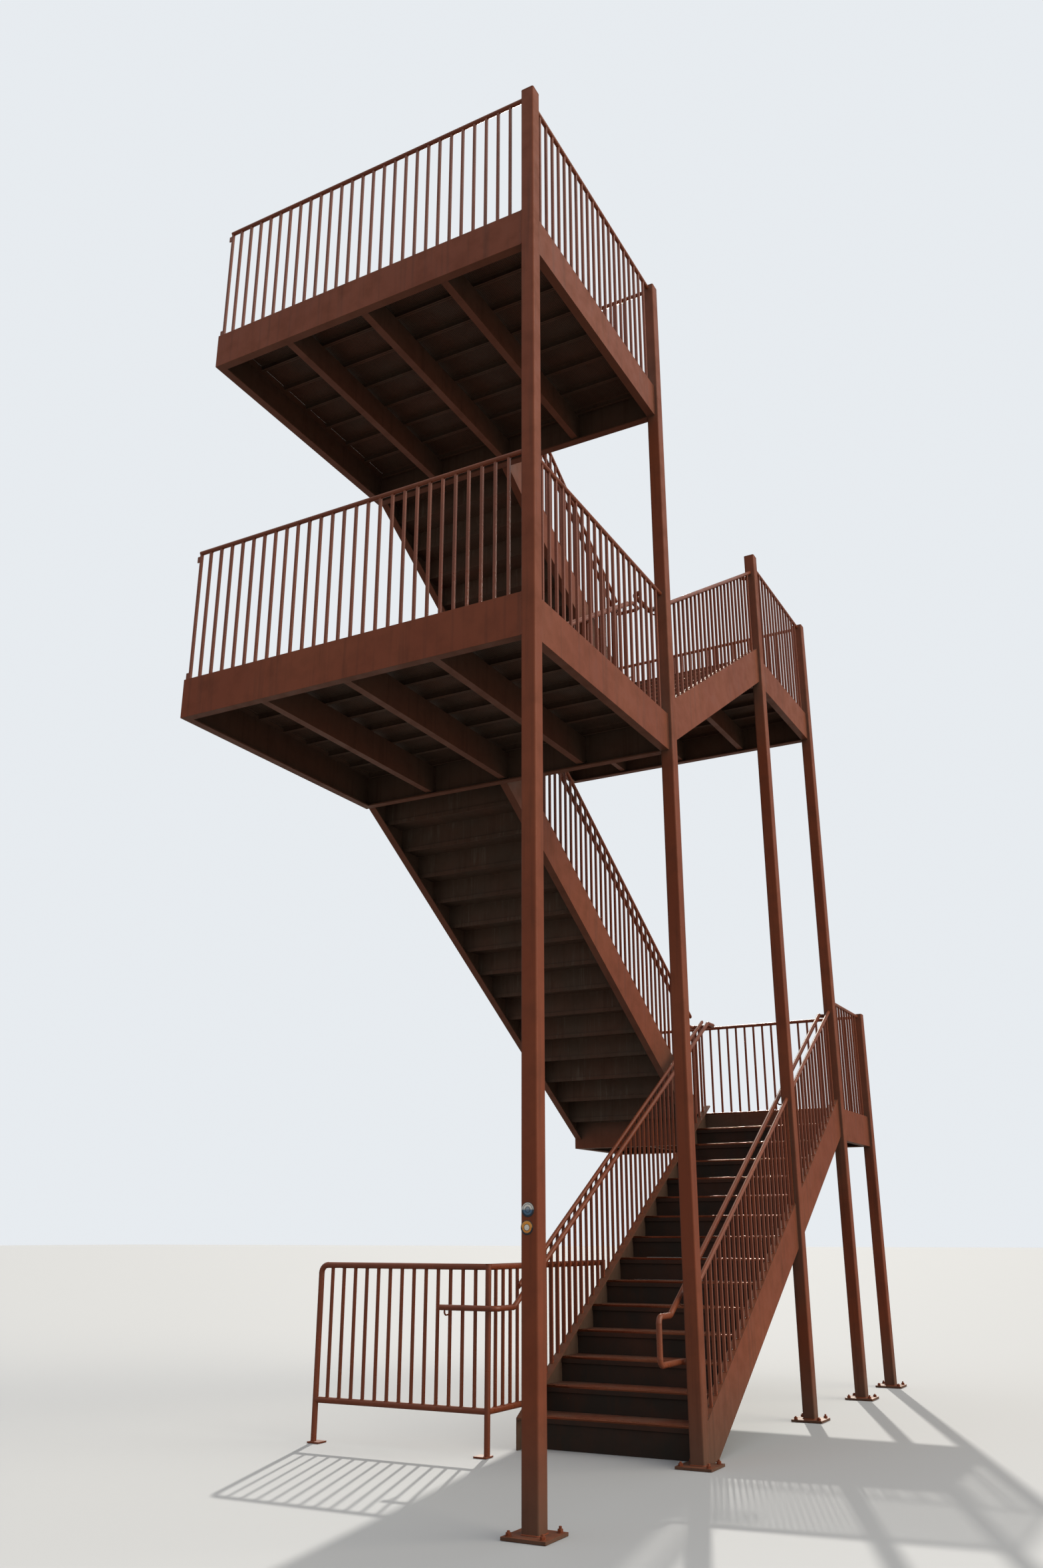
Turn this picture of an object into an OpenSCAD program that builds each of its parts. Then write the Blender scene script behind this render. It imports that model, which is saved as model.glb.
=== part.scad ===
// Fire escape stair: four flights, two half landings and two door landings.
// X runs along the wall, Y runs towards the wall and Z is up, all in millimetres.
// The origin is under the middle of the first column's base plate, at ground level.

/* [Levels] */
// Height of the lower half landing above the ground
low_level = 2600; // [2400:5:2800]
// Height of the first door landing above the ground
level_2 = 5250; // [5000:5:5500]
// Height of the upper half landing above the ground
mid_level = 6810; // [6600:5:7000]
// Height of the top door landing above the ground
level_3 = 8335; // [8100:5:8600]

/* [Plan] */
// Distance from the middle of the columns to the wall
stair_depth = 2870; // [2700:5:3200]
// Length of the door landings, column to column
door_bay = 2280; // [1800:5:2600]
// Length of the upper half landing, column to column
mid_bay = 1650; // [1500:5:2000]
// Length of the lower half landing, column to column
low_bay = 1150; // [1000:5:1500]
// Width of each flight over its stringers
flight_width = 1395; // [1200:5:1420]
// Gap between the flights and the wall
wall_gap = 10; // [5:1:25]

/* [Steps] */
// Risers in each of the two lower flights
lower_risers = 15; // [14:1:15]
// Risers in each of the two upper flights
upper_risers = 9; // [9:1:10]
// How much taller the very first riser is than the others of its flight
first_extra = 38; // [0:1:60]
// Depth of a step, nosing to nosing
going = 280; // [260:1:290]
// Flat stretch at the foot of the two upper flights
upper_foot = 200; // [150:5:260]
// Thickness of the sheet that the steps are folded from
step_sheet = 4; // [3:0.5:6]
// Height of the folded front edge of a step
step_lip = 45; // [35:1:60]
// Height of the folded back edge of a step
back_lip = 36; // [25:1:50]
// How far a tread runs on behind the next riser plate
step_lap = 7; // [4:1:20]
// How far the riser plate stands back behind the front edge
riser_set = 12; // [6:1:25]
// Joint under each riser plate
riser_joint = 0.5; // [0.5:0.5:3]

/* [Columns] */
// Side of the square columns
col_size = 102; // [90:1:120]
// Wall of the square columns
col_wall = 6; // [4:0.5:8]
// Radius of the columns' rounded corners
col_corner = 12; // [10:1:16]
// How far the first and third columns stand above the guards
tall_rise = 62; // [20:1:90]
// How far the other columns stand above the guards
short_rise = 10; // [5:1:60]
// Thickness of the cap that closes a column
cap_thick = 6; // [4:1:12]
// Side of the base plates
plate_size = 250; // [220:1:300]
// Thickness of the base plates
plate_thick = 16; // [10:1:25]
// Distance between the bolt holes of a base plate
plate_pitch = 190; // [160:1:200]
// Diameter of the bolt holes
bolt_hole = 18; // [12:1:22]

/* [Channels] */
// Depth of the edge channels and the stringers
channel_depth = 305; // [280:1:330]
// Width of the channel flanges
channel_flange = 66; // [50:1:66]
// Thickness of the channel webs
channel_web = 8; // [6:0.5:12]
// Thickness of the channel flanges
flange_thick = 12; // [8:0.5:15]
// How far the near channels sit back from the column face
near_inset = 5; // [2:1:10]
// How far the outer and far channels sit back from the column face
side_inset = 34; // [30:1:40]
// Height of a stringer's top edge above the nosings, upright
stringer_over = 78; // [70:1:110]
// Number of joists under a landing
joist_count = 3; // [2:1:4]
// Depth of the joists
joist_depth = 230; // [180:1:240]
// Width of the joist flanges
joist_flange = 60; // [50:1:75]

/* [Decks] */
// Depth of the deck planks
plank_depth = 50; // [40:1:60]
// Width of a full deck plank
plank_width = 297; // [250:1:350]
// Narrowest plank that is cut to fill a landing
plank_least = 60; // [50:5:120]
// Width of the lips that stiffen a plank's lower edges
plank_lip = 14; // [8:1:20]
// Sheet thickness of the deck planks
plank_sheet = 3; // [2:0.5:5]
// Joint between deck planks
plank_joint = 4; // [2:1:8]
// Gap between the planks and the flanges round them
plank_end = 1; // [0.5:0.5:4]

/* [Guards] */
// Height of the landing guards above the deck
guard_height = 1075; // [1000:1:1150]
// Height of the flight guards above the nosings
flight_guard = 957; // [900:1:1050]
// Diameter of the guard top rails
rail_dia = 34; // [30:1:48]
// Side of the square balusters
bar_size = 19; // [16:1:22]
// Widest distance between baluster centres
bar_pitch = 106; // [90:1:115]
// How far the guards stand in from the channel face
guard_in = 20; // [16:1:30]
// Gap between the wall and the last bar of a guard
wall_stand = 28; // [15:1:40]
// Height of the lugs that fasten a guard to the wall
lug_height = 48; // [30:1:70]
// Thickness of the lugs
lug_thick = 8; // [5:1:12]
// Height of the lower lug above the deck
lug_foot = 10; // [5:1:60]
// How far the upper lug's foot lies below the rail's top
lug_drop = 90; // [80:1:200]

/* [Ground guard] */
// Distance from the first column to the ground guard
end_guard_x = 1960; // [1900:5:2000]
// Height of the ground guard
end_top = 1220; // [1100:5:1300]
// Height of the ground guard's lower rail
end_low = 280; // [150:5:400]
// Diameter of the ground guard's pipes
end_pipe = 42; // [38:1:48]
// Bend radius of the ground guard's rounded corner
end_bend = 55; // [50:1:90]
// Side of the plates under its posts
post_plate = 100; // [80:1:120]
// Thickness of the plates under its posts
post_plate_thick = 10; // [6:1:14]

/* [Handrails] */
// Diameter of the handrails
hand_dia = 38; // [32:1:45]
// Height of the handrails above the nosings
hand_height = 940; // [865:1:960]
// Distance from an outer guard, or the wall, to the middle of its handrail
hand_out = 95; // [75:1:120]
// Distance from an inner guard to the middle of its handrail
hand_in = 63; // [60:1:100]
// Level length past the top riser of the flights along the wall
hand_extra = 250; // [200:5:320]
// How far the lowest outer handrail keeps its slope past the foot of its flight
loop_run = 80; // [0:5:90]
// How far the lowest inner handrail does so
inner_run = 45; // [0:5:90]
// Length of the level loop at the lowest outer handrail's foot
loop_length = 195; // [150:5:260]
// Height of the loop at a handrail's end
loop_drop = 290; // [200:5:350]
// Length of the level end at the foot of the upper outer handrail
level_end = 310; // [200:5:350]
// How far that end is turned towards the guard
end_return = 55; // [50:1:70]
// Bend radius of the handrails
hand_bend = 40; // [35:1:45]
// Diameter of the handrail brackets
bracket_dia = 12; // [10:1:16]
// Diameter of the round plates that fasten the wall handrails
wall_plate = 64; // [50:1:80]
// Thickness of those plates
wall_plate_thick = 5; // [3:1:8]

/* [Hidden] */
$fn = 48;
paint = [0.45, 0.21, 0.16];
paint_dark = [0.38, 0.18, 0.14];
half_col = col_size / 2;
lap = 1;
ring_length = 5;
ring_proud = 2;
ring_gap = 0.5;

// Column places along X
col_a = 0;
col_b = door_bay;
upper_run = (upper_risers - 1) * going;
lower_run = (lower_risers - 1) * going;
function near_face(col) = col - half_col + near_inset;
function far_face(col) = col + half_col - side_inset;
door_far = far_face(col_b);
mid_near = door_far + upper_foot + upper_run;
col_c = mid_near + half_col - near_inset;
col_d = col_c + mid_bay;
low_near = near_face(col_d);
col_e = col_d + low_bay;
col_x = [col_a, col_b, col_c, col_d, col_e];
outer_face = -half_col + side_inset;
wall_face = stair_depth;

// Tops of the columns
col_tops = [
    level_3 + guard_height + tall_rise,
    level_3 + guard_height + short_rise,
    mid_level + guard_height + tall_rise,
    mid_level + guard_height + short_rise,
    low_level + guard_height + short_rise
];

// Risers of each flight
riser_1 = (low_level - first_extra) / lower_risers;
riser_2 = (level_2 - low_level) / lower_risers;
riser_3 = (mid_level - level_2) / upper_risers;
riser_4 = (level_3 - mid_level) / upper_risers;

// How far a tread runs back from the next step's front edge
step_reach = riser_set + step_sheet + step_lap;

// Places of the flights: Y of the two sides, and X of the lowest riser
inner_1 = outer_face + flight_width;
outer_2 = stair_depth - wall_gap - flight_width;
inner_2 = stair_depth - wall_gap;
start_1 = low_near - lower_run;
start_2 = door_far + lower_run;
start_3 = mid_near - upper_run;
start_4 = door_far + upper_run;
lower_foot = low_near - start_2;

// Draws an outline of X and Z between two Y places
module across(y0, y1) {
    translate([0, y1, 0]) rotate([90, 0, 0]) linear_extrude(y1 - y0) children();
}

// Draws a flight's outlines from its lowest riser, climbing along X or against it
module flight_place(start, level, forward) {
    translate([start, 0, level]) mirror([forward ? 0 : 1, 0, 0]) children();
}

// Square with rounded corners
module rounded_square(side, corner) {
    flat = side - 2 * corner;
    square([flat, side], center = true);
    square([side, flat], center = true);
    for (x = [-1, 1], y = [-1, 1])
        translate([x * flat / 2, y * flat / 2]) circle(r = corner);
}

// Square tube column with its foot on the base plate
module column(index) {
    height = col_tops[index] - cap_thick - plate_thick;
    color(paint) translate([col_x[index], 0, plate_thick]) linear_extrude(height) difference() {
        rounded_square(col_size, col_corner);
        rounded_square(col_size - 2 * col_wall, col_corner - col_wall);
    }
}

module column_a() { column(0); }
module column_b() { column(1); }
module column_c() { column(2); }
module column_d() { column(3); }
module column_e() { column(4); }

module column_caps() {
    color(paint) for (i = [0 : len(col_x) - 1])
        translate([col_x[i], 0, col_tops[i] - cap_thick])
            linear_extrude(cap_thick) rounded_square(col_size, col_corner);
}

module base_plate() {
    difference() {
        translate([-plate_size / 2, -plate_size / 2, 0]) cube([plate_size, plate_size, plate_thick]);
        for (x = [-1, 1], y = [-1, 1])
            translate([x * plate_pitch / 2, y * plate_pitch / 2, -lap])
                cylinder(d = bolt_hole, h = plate_thick + 2 * lap);
    }
}

module base_plates() {
    color(paint_dark) for (x = col_x) translate([x, 0, 0]) base_plate();
}

// Channel section: web at the left, flanges to the right, top edge at zero
module channel_outline(depth, flange) {
    translate([0, -depth]) square([channel_web, depth]);
    translate([0, -flange_thick]) square([flange, flange_thick]);
    translate([0, -depth]) square([flange, flange_thick]);
}

// Channel along Y with its web at x and its flanges on the side given
module channel_y(x, y0, y1, level, side) {
    translate([x, y1, level]) mirror([side > 0 ? 0 : 1, 0, 0]) rotate([90, 0, 0])
        linear_extrude(y1 - y0) channel_outline(channel_depth, channel_flange);
}

// Channel along X with its web at y and its flanges on the side given
module channel_x(y, x0, x1, level, side, depth = channel_depth, flange = channel_flange) {
    translate([x0, y, level]) mirror([0, side > 0 ? 0 : 1, 0]) rotate([90, 0, 90])
        linear_extrude(x1 - x0) channel_outline(depth, flange);
}

// Landing frame: edge channels, a ledger on the wall and joists between them
module landing_frame(col_0, col_1, level) {
    x0 = near_face(col_0);
    x1 = far_face(col_1);
    color(paint) union() {
        channel_y(x0, half_col, wall_face, level, 1);
        channel_y(x1, half_col, wall_face, level, -1);
        channel_x(wall_face, x0 + channel_web, x1 - channel_web, level, -1);
        for (i = [1 : joist_count])
            channel_x(wall_face * i / (joist_count + 1), x0 + channel_web, x1 - channel_web,
                level - plank_depth, 1, joist_depth, joist_flange);
    }
    color(paint) channel_x(outer_face, col_0 + half_col, col_1 - half_col, level, 1);
}

module level_3_frame() { landing_frame(col_a, col_b, level_3); }
module level_2_frame() { landing_frame(col_a, col_b, level_2); }
module mid_frame() { landing_frame(col_c, col_d, mid_level); }
module low_frame() { landing_frame(col_d, col_e, low_level); }

// Deck plank section: sheet with its long edges folded down and in
module plank_outline(width) {
    difference() {
        translate([0, -plank_depth]) square([width, plank_depth]);
        translate([plank_sheet, plank_sheet - plank_depth])
            square([width - 2 * plank_sheet, plank_depth - 2 * plank_sheet]);
        translate([plank_lip, -plank_depth - lap])
            square([width - 2 * plank_lip, plank_depth]);
    }
}

// Full planks from the far side, and one cut to the width that is left
module landing_deck(col_0, col_1, level) {
    x0 = near_face(col_0) + channel_flange + plank_end;
    x1 = far_face(col_1) - channel_flange - plank_end;
    pitch = plank_width + plank_joint;
    full = floor((x1 - x0 - plank_least) / pitch);
    color(paint_dark) across(half_col + plank_end, wall_face - channel_flange - plank_end) {
        for (i = [1 : full])
            translate([x1 - i * pitch + plank_joint, level]) plank_outline(plank_width);
        translate([x0, level]) plank_outline(x1 - x0 - full * pitch);
    }
}

module level_3_deck() { landing_deck(col_a, col_b, level_3); }
module level_2_deck() { landing_deck(col_a, col_b, level_2); }
module mid_deck() { landing_deck(col_c, col_d, mid_level); }
module low_deck() { landing_deck(col_d, col_e, low_level); }

// Height of a stringer's top edge at a distance from the lowest riser
function edge_height(riser, u) = riser + u * riser / going + stringer_over;
function slant(riser) = sqrt(riser * riser + going * going) / going;

// Sloping strip below a stringer's top edge, cut off at the floor
module stringer_strip(riser, u0, u1, from, depth, floor_cut) {
    intersection() {
        polygon([
            [u0, edge_height(riser, u0) - from * slant(riser)],
            [u1, edge_height(riser, u1) - from * slant(riser)],
            [u1, edge_height(riser, u1) - (from + depth) * slant(riser)],
            [u0, edge_height(riser, u0) - (from + depth) * slant(riser)]
        ]);
        translate([u0, floor_cut]) square([u1 - u0, edge_height(riser, u1) - floor_cut + lap]);
    }
}

// Channel stringer with its web at y and its flanges on the side given
module stringer(riser, u0, u1, y, side, floor_cut = -channel_depth * 4) {
    web_y = side > 0 ? y : y - channel_web;
    flange_y = side > 0 ? y : y - channel_flange;
    union() {
        across(web_y, web_y + channel_web)
            stringer_strip(riser, u0, u1, 0, channel_depth, floor_cut);
        across(flange_y, flange_y + channel_flange)
            stringer_strip(riser, u0, u1, 0, flange_thick, floor_cut);
        across(flange_y, flange_y + channel_flange)
            stringer_strip(riser, u0, u1, channel_depth - flange_thick, flange_thick, floor_cut);
    }
}

module flight_1_stringers() {
    color(paint) flight_place(start_1, first_extra, true) {
        stringer(riser_1, col_b + half_col - start_1, col_d - half_col - start_1, outer_face, 1, -first_extra);
        stringer(riser_1, col_b + half_col - start_1, lower_run, inner_1, -1, -first_extra);
    }
}
module flight_2_stringers() {
    color(paint) flight_place(start_2, low_level, false) {
        stringer(riser_2, -lower_foot, lower_run, outer_2, 1);
        stringer(riser_2, -lower_foot, lower_run, inner_2, -1);
    }
}
module flight_3_stringers() {
    color(paint) flight_place(start_3, level_2, true) {
        stringer(riser_3, col_b + half_col - start_3, col_c - half_col - start_3, outer_face, 1);
        stringer(riser_3, -upper_foot, upper_run, inner_1, -1);
    }
}
module flight_4_stringers() {
    color(paint) flight_place(start_4, mid_level, false) {
        stringer(riser_4, -upper_foot, upper_run, outer_2, 1);
        stringer(riser_4, -upper_foot, upper_run, inner_2, -1);
    }
}

// Step section: riser plate, nosing with a lip over the riser, tread and a folded back edge
module step_outline(riser, depth, foot) {
    plate = riser_set + step_sheet;
    polygon([
        [0, 0], [depth, 0], [depth, -back_lip], [depth - step_sheet, -back_lip],
        [depth - step_sheet, -step_sheet], [plate, -step_sheet],
        [plate, foot - riser], [riser_set, foot - riser],
        [riser_set, -step_sheet], [step_sheet, -step_sheet],
        [step_sheet, -step_lip], [0, -step_lip]
    ]);
}

// Steps of one flight, each welded between the webs of its stringers
module flight_steps(riser, risers, y0, y1, top_gap, first_foot) {
    across(y0 + channel_web, y1 - channel_web) for (i = [1 : risers - 1])
        translate([(i - 1) * going, i * riser])
            step_outline(riser, i < risers - 1 ? going + step_reach : going - top_gap,
                i == 1 ? first_foot : riser_joint);
}

// Level plate that reaches from a landing to the lowest riser
module foot_plate(foot, y0, y1) {
    across(y0 + channel_web, y1 - channel_web) translate([-foot, 0])
        difference() {
            translate([0, -step_lip]) square([foot + step_reach, step_lip]);
            translate([step_sheet, -step_lip - lap])
                square([foot + step_reach - 2 * step_sheet, step_lip - step_sheet + lap]);
        }
}

module flight_1_steps() {
    color(paint_dark) flight_place(start_1, first_extra, true)
        flight_steps(riser_1, lower_risers, outer_face, inner_1, near_inset, -first_extra);
}
module flight_2_steps() {
    color(paint_dark) flight_place(start_2, low_level, false) {
        foot_plate(lower_foot, outer_2, inner_2);
        flight_steps(riser_2, lower_risers, outer_2, inner_2, 0, riser_joint);
    }
}
module flight_3_steps() {
    color(paint_dark) flight_place(start_3, level_2, true) {
        difference() {
            foot_plate(upper_foot, outer_face, inner_1);
            translate([-upper_foot - lap, -half_col, -step_lip - lap])
                cube([col_b + half_col - door_far + lap, col_size, step_lip + 2 * lap]);
        }
        flight_steps(riser_3, upper_risers, outer_face, inner_1, near_inset, riser_joint);
    }
}
module flight_4_steps() {
    color(paint_dark) flight_place(start_4, mid_level, false) {
        foot_plate(upper_foot, outer_2, inner_2);
        flight_steps(riser_4, upper_risers, outer_2, inner_2, 0, riser_joint);
    }
}

// Distance between the bars of a guard of the length given
function bar_space(length) = length / ceil(length / bar_pitch);

// Bars of a guard along X, from a sloping edge at base up to the middle of the top rail
module guard_bars(u0, u1, y, base, top, rise, dia) {
    pitch = bar_space(u1 - u0);
    for (i = [1 : round((u1 - u0) / pitch) - 1]) let (x = u0 + i * pitch)
        across(y - bar_size / 2, y + bar_size / 2) polygon([
            [x - bar_size / 2, base + rise * (x - bar_size / 2 - u0)],
            [x + bar_size / 2, base + rise * (x + bar_size / 2 - u0)],
            [x + bar_size / 2, top + rise * (x - u0) - dia / 2],
            [x - bar_size / 2, top + rise * (x - u0) - dia / 2]
        ]);
}

// Guard panel along X, from u0 to u1: bars from a sloping edge up to a round rail
// base is the edge height at u0, top the rail's top there, rise the climb per millimetre
module guard(u0, u1, y, base, top, rise, dia = rail_dia) {
    angle = atan(rise);
    union() {
        intersection() {
            translate([u0, y, top - dia / 2 / cos(angle)]) rotate([0, 90 - angle, 0])
                translate([0, 0, -dia]) cylinder(d = dia, h = (u1 - u0) / cos(angle) + 2 * dia);
            translate([u0, y - dia, base]) cube([u1 - u0, 2 * dia, 2 * (top - base) + rise * (u1 - u0)]);
        }
        guard_bars(u0, u1, y, base, top, rise, dia);
    }
}

// Guard panel along Y
module guard_y(y0, y1, x, base, top) {
    translate([x, 0, 0]) rotate([0, 0, 90]) guard(y0, y1, 0, base, top, 0);
}

outer_line = outer_face + guard_in;
module level_guard(col_0, col_1, level) {
    color(paint) guard(col_0 + half_col, col_1 - half_col, outer_line, level, level + guard_height, 0);
}

// Guard along Y that ends in a bar with two lugs to the wall
module wall_guard(x, level) {
    color(paint) union() {
        guard_y(half_col, wall_face - wall_stand, x, level, level + guard_height);
        translate([x - bar_size / 2, wall_face - wall_stand - bar_size, level])
            cube([bar_size, bar_size, guard_height - rail_dia / 2]);
        for (z = [lug_foot, guard_height - lug_drop])
            translate([x - lug_thick / 2, wall_face - wall_stand, level + z])
                cube([lug_thick, wall_stand, lug_height]);
    }
}

module level_3_near_guard() { wall_guard(near_face(col_a) + guard_in, level_3); }
module level_2_near_guard() { wall_guard(near_face(col_a) + guard_in, level_2); }
module level_3_outer_guard() { level_guard(col_a, col_b, level_3); }
module level_2_outer_guard() { level_guard(col_a, col_b, level_2); }
module mid_outer_guard() { level_guard(col_c, col_d, mid_level); }
module low_outer_guard() { level_guard(col_d, col_e, low_level); }
module mid_far_guard() { wall_guard(far_face(col_d) - guard_in, mid_level); }
module low_far_guard() { wall_guard(far_face(col_e) - guard_in, low_level); }
module level_3_far_guard() {
    color(paint) guard_y(half_col, outer_2 - guard_in, far_face(col_b) - guard_in,
        level_3, level_3 + guard_height);
}

// Guard along a flight, in the flight's own place
module flight_guard_panel(riser, u0, u1, y) {
    guard(u0, u1, y, edge_height(riser, u0), riser + flight_guard + u0 * riser / going, riser / going);
}

module flight_1_outer_guard() {
    color(paint) flight_place(start_1, first_extra, true)
        flight_guard_panel(riser_1, col_b + half_col - start_1, col_d - half_col - start_1, outer_line);
}
module flight_1_inner_guard() {
    color(paint) flight_place(start_1, first_extra, true)
        flight_guard_panel(riser_1, col_b + half_col - start_1, lower_run, inner_1 - guard_in);
}
module flight_2_inner_guard() {
    color(paint) flight_place(start_2, low_level, false)
        flight_guard_panel(riser_2, -lower_foot, lower_run, outer_2 + guard_in);
}
module flight_3_outer_guard() {
    color(paint) flight_place(start_3, level_2, true)
        flight_guard_panel(riser_3, col_b + half_col - start_3, col_c - half_col - start_3, outer_line);
}
module flight_3_inner_guard() {
    color(paint) flight_place(start_3, level_2, true)
        flight_guard_panel(riser_3, -upper_foot, upper_run, inner_1 - guard_in);
}
module flight_4_inner_guard() {
    color(paint) flight_place(start_4, mid_level, false)
        flight_guard_panel(riser_4, -upper_foot, upper_run, outer_2 + guard_in);
}

// Unit vector from one point to another
function way(p, q) = (q - p) / norm(q - p);

// Part of v square to the unit vector d, made a unit vector
function square_to(d, v) = way([0, 0, 0], v - d * (d * v));

// Length that a bend takes up on each side of point i of a route
function bend_reach(route, i, bend) = i == 0 || i == len(route) - 1 ? 0 :
    bend * tan(acos(way(route[i - 1], route[i]) * way(route[i], route[i + 1])) / 2);

// Puts its shapes at p with the three unit vectors as their axes
module placed(x, y, z, p) {
    multmatrix([
        [x[0], y[0], z[0], p[0]],
        [x[1], y[1], z[1], p[1]],
        [x[2], y[2], z[2], p[2]],
        [0, 0, 0, 1]
    ]) children();
}

// Round tube along a route of straight stretches, with a true bend at each inner point
// and a thin weld ring where a bend meets a straight
module tube(route, dia, bend) {
    last = len(route) - 1;
    for (i = [0 : last - 1]) {
        d = way(route[i], route[i + 1]);
        p = route[i] + d * (bend_reach(route, i, bend) + (i == 0 ? 0 : ring_gap));
        q = route[i + 1] - d * (bend_reach(route, i + 1, bend) + (i == last - 1 ? 0 : ring_gap));
        side = square_to(d, abs(d[2]) < 0.9 ? [0, 0, 1] : [1, 0, 0]);
        placed(side, cross(d, side), d, p) {
            cylinder(d = dia, h = norm(q - p));
            if (i > 0) translate([0, 0, -ring_gap - ring_length / 2])
                cylinder(d = dia + ring_proud, h = ring_length);
            if (i < last - 1) translate([0, 0, norm(q - p) + ring_gap - ring_length / 2])
                cylinder(d = dia + ring_proud, h = ring_length);
        }
    }
    if (last > 1) for (i = [1 : last - 1]) {
        d = way(route[i - 1], route[i]);
        out = way(route[i], route[i + 1]);
        inward = square_to(d, out);
        placed(-inward, d, cross(d, inward), route[i] - d * bend_reach(route, i, bend) + inward * bend)
            rotate_extrude(angle = acos(d * out)) translate([bend, 0]) circle(d = dia);
    }
}

// Height of the middle of a handrail at a distance from the lowest riser
function hand_z(riser, u) = riser + hand_height - hand_dia / 2 + u * riser / going;

// Round plate against the wall, where a handrail or bracket meets it
module wall_seat(u, z) {
    translate([u, wall_face - wall_plate_thick, z]) rotate([-90, 0, 0])
        cylinder(d = wall_plate, h = wall_plate_thick);
}

// Hooked bracket that carries a handrail from a guard bar, a column or the wall
module bracket(u, z, y, to_y) {
    low = z - hand_dia / 2 - bracket_drop;
    tube([[u, y, z - hand_dia / 4], [u, y, low], [u, to_y, low]], bracket_dia, bracket_bend);
    if (to_y == wall_face) wall_seat(u, low);
}

// Brackets spread over a sloping handrail, each at a bar of the guard from g0 to g1
module brackets(riser, run, g0, g1, y, to_y, count) {
    pitch = bar_space(g1 - g0);
    for (k = [0 : count - 1])
        let (u = g0 + round(((k + 0.5) * run / count - g0) / pitch) * pitch)
            bracket(u, hand_z(riser, u), y, to_y);
}

bracket_drop = 30;
bracket_bend = 20;
turn_out = 80;
turn_room = 20;
rail_joint = 40;
lower_brackets = 4;
upper_brackets = 3;
hand_outer = outer_line + hand_out;
hand_inner_1 = inner_1 - guard_in - hand_in;
hand_inner_2 = outer_2 + guard_in + hand_in;
hand_wall = inner_2 - hand_out;

// Foot of an outer handrail that loops back to the column
function loop_foot(riser, col_low) =
    let (foot = -going - loop_run, low = hand_z(riser, foot)) [
        [col_low, half_col, low - loop_drop],
        [col_low, hand_outer, low - loop_drop],
        [foot - loop_length, hand_outer, low - loop_drop],
        [foot - loop_length, hand_outer, low],
        [foot, hand_outer, low]
    ];

// Foot of an outer handrail with a level end that is turned towards the guard
function turned_foot(riser) =
    let (low = hand_z(riser, -going)) [
        [-going - level_end, hand_outer - end_return, low],
        [-going - level_end, hand_outer, low],
        [-going, hand_outer, low]
    ];

// Outer handrail from its foot up to a column, with a bracket on each column that it passes
module outer_handrail(riser, run, foot, col_high, passed) {
    end = run - turn_room;
    top = hand_z(riser, end);
    union() {
        tube(concat(foot, [
            [end, hand_outer, top],
            [col_high, hand_outer, top],
            [col_high, half_col, top]
        ]), hand_dia, hand_bend);
        for (u = passed) bracket(u, hand_z(riser, u), hand_outer, half_col);
    }
}

module flight_1_handrails() {
    foot = -going - inner_run;
    low = hand_z(riser_1, foot);
    end_u = end_guard_x - start_1 - end_hand_out;
    end_y = end_guard_y + end_hand_bars * bar_space(wall_face - end_pipe / 2 - end_guard_y);
    color(paint) flight_place(start_1, first_extra, true) {
        outer_handrail(riser_1, lower_run, loop_foot(riser_1, col_b - start_1), col_d - start_1,
            [col_b - start_1, col_c - start_1]);
        union() {
            tube([
                [end_u, end_y + hand_dia, low],
                [end_u, hand_inner_1, low],
                [foot, hand_inner_1, low],
                [lower_run, hand_inner_1, hand_z(riser_1, lower_run)],
                [lower_run + rail_joint, hand_inner_1, hand_z(riser_1, lower_run)]
            ], hand_dia, hand_bend);
            brackets(riser_1, lower_run, col_b + half_col - start_1, lower_run, hand_inner_1,
                inner_1 - guard_in - bar_size / 2, lower_brackets);
            tube([
                [end_u, end_y, low - hand_dia / 4],
                [end_u, end_y, low - hand_dia / 2 - bracket_drop],
                [end_u + end_hand_out - bar_size / 2, end_y, low - hand_dia / 2 - bracket_drop]
            ], bracket_dia, bracket_bend);
        }
    }
}

// Inner and wall handrails of a flight that climbs back, with the turns round the well
module back_handrails(riser, run, foot, count, top_turn) {
    low = hand_z(riser, -going);
    top = hand_z(riser, run);
    turn_low = -max(going, foot + rail_joint) - turn_out;
    joint_top = run + going - upper_foot + rail_joint;
    union() {
        tube(concat([
            [-foot - rail_joint, hand_inner_1, low],
            [turn_low, hand_inner_1, low],
            [turn_low, hand_inner_2, low],
            [-going, hand_inner_2, low],
            [run, hand_inner_2, top]
        ], top_turn ? [
            [joint_top + turn_out, hand_inner_2, top],
            [joint_top + turn_out, hand_inner_1, top],
            [joint_top, hand_inner_1, top]
        ] : [
            [run + hand_extra, hand_inner_2, top],
            [run + hand_extra, hand_inner_2, top - loop_drop],
            [run + rail_joint, hand_inner_2, top - loop_drop]
        ]), hand_dia, hand_bend);
        brackets(riser, run, -foot, run, hand_inner_2, outer_2 + guard_in + bar_size / 2, count);
    }
    union() {
        tube([
            [-going - turn_out, wall_face, low],
            [-going - turn_out, hand_wall, low],
            [-going, hand_wall, low],
            [run, hand_wall, top],
            [run + hand_extra, hand_wall, top],
            [run + hand_extra, wall_face, top]
        ], hand_dia, hand_bend);
        wall_seat(-going - turn_out, low);
        wall_seat(run + hand_extra, top);
        brackets(riser, run, 0, run, hand_wall, wall_face, count);
    }
}

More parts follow.
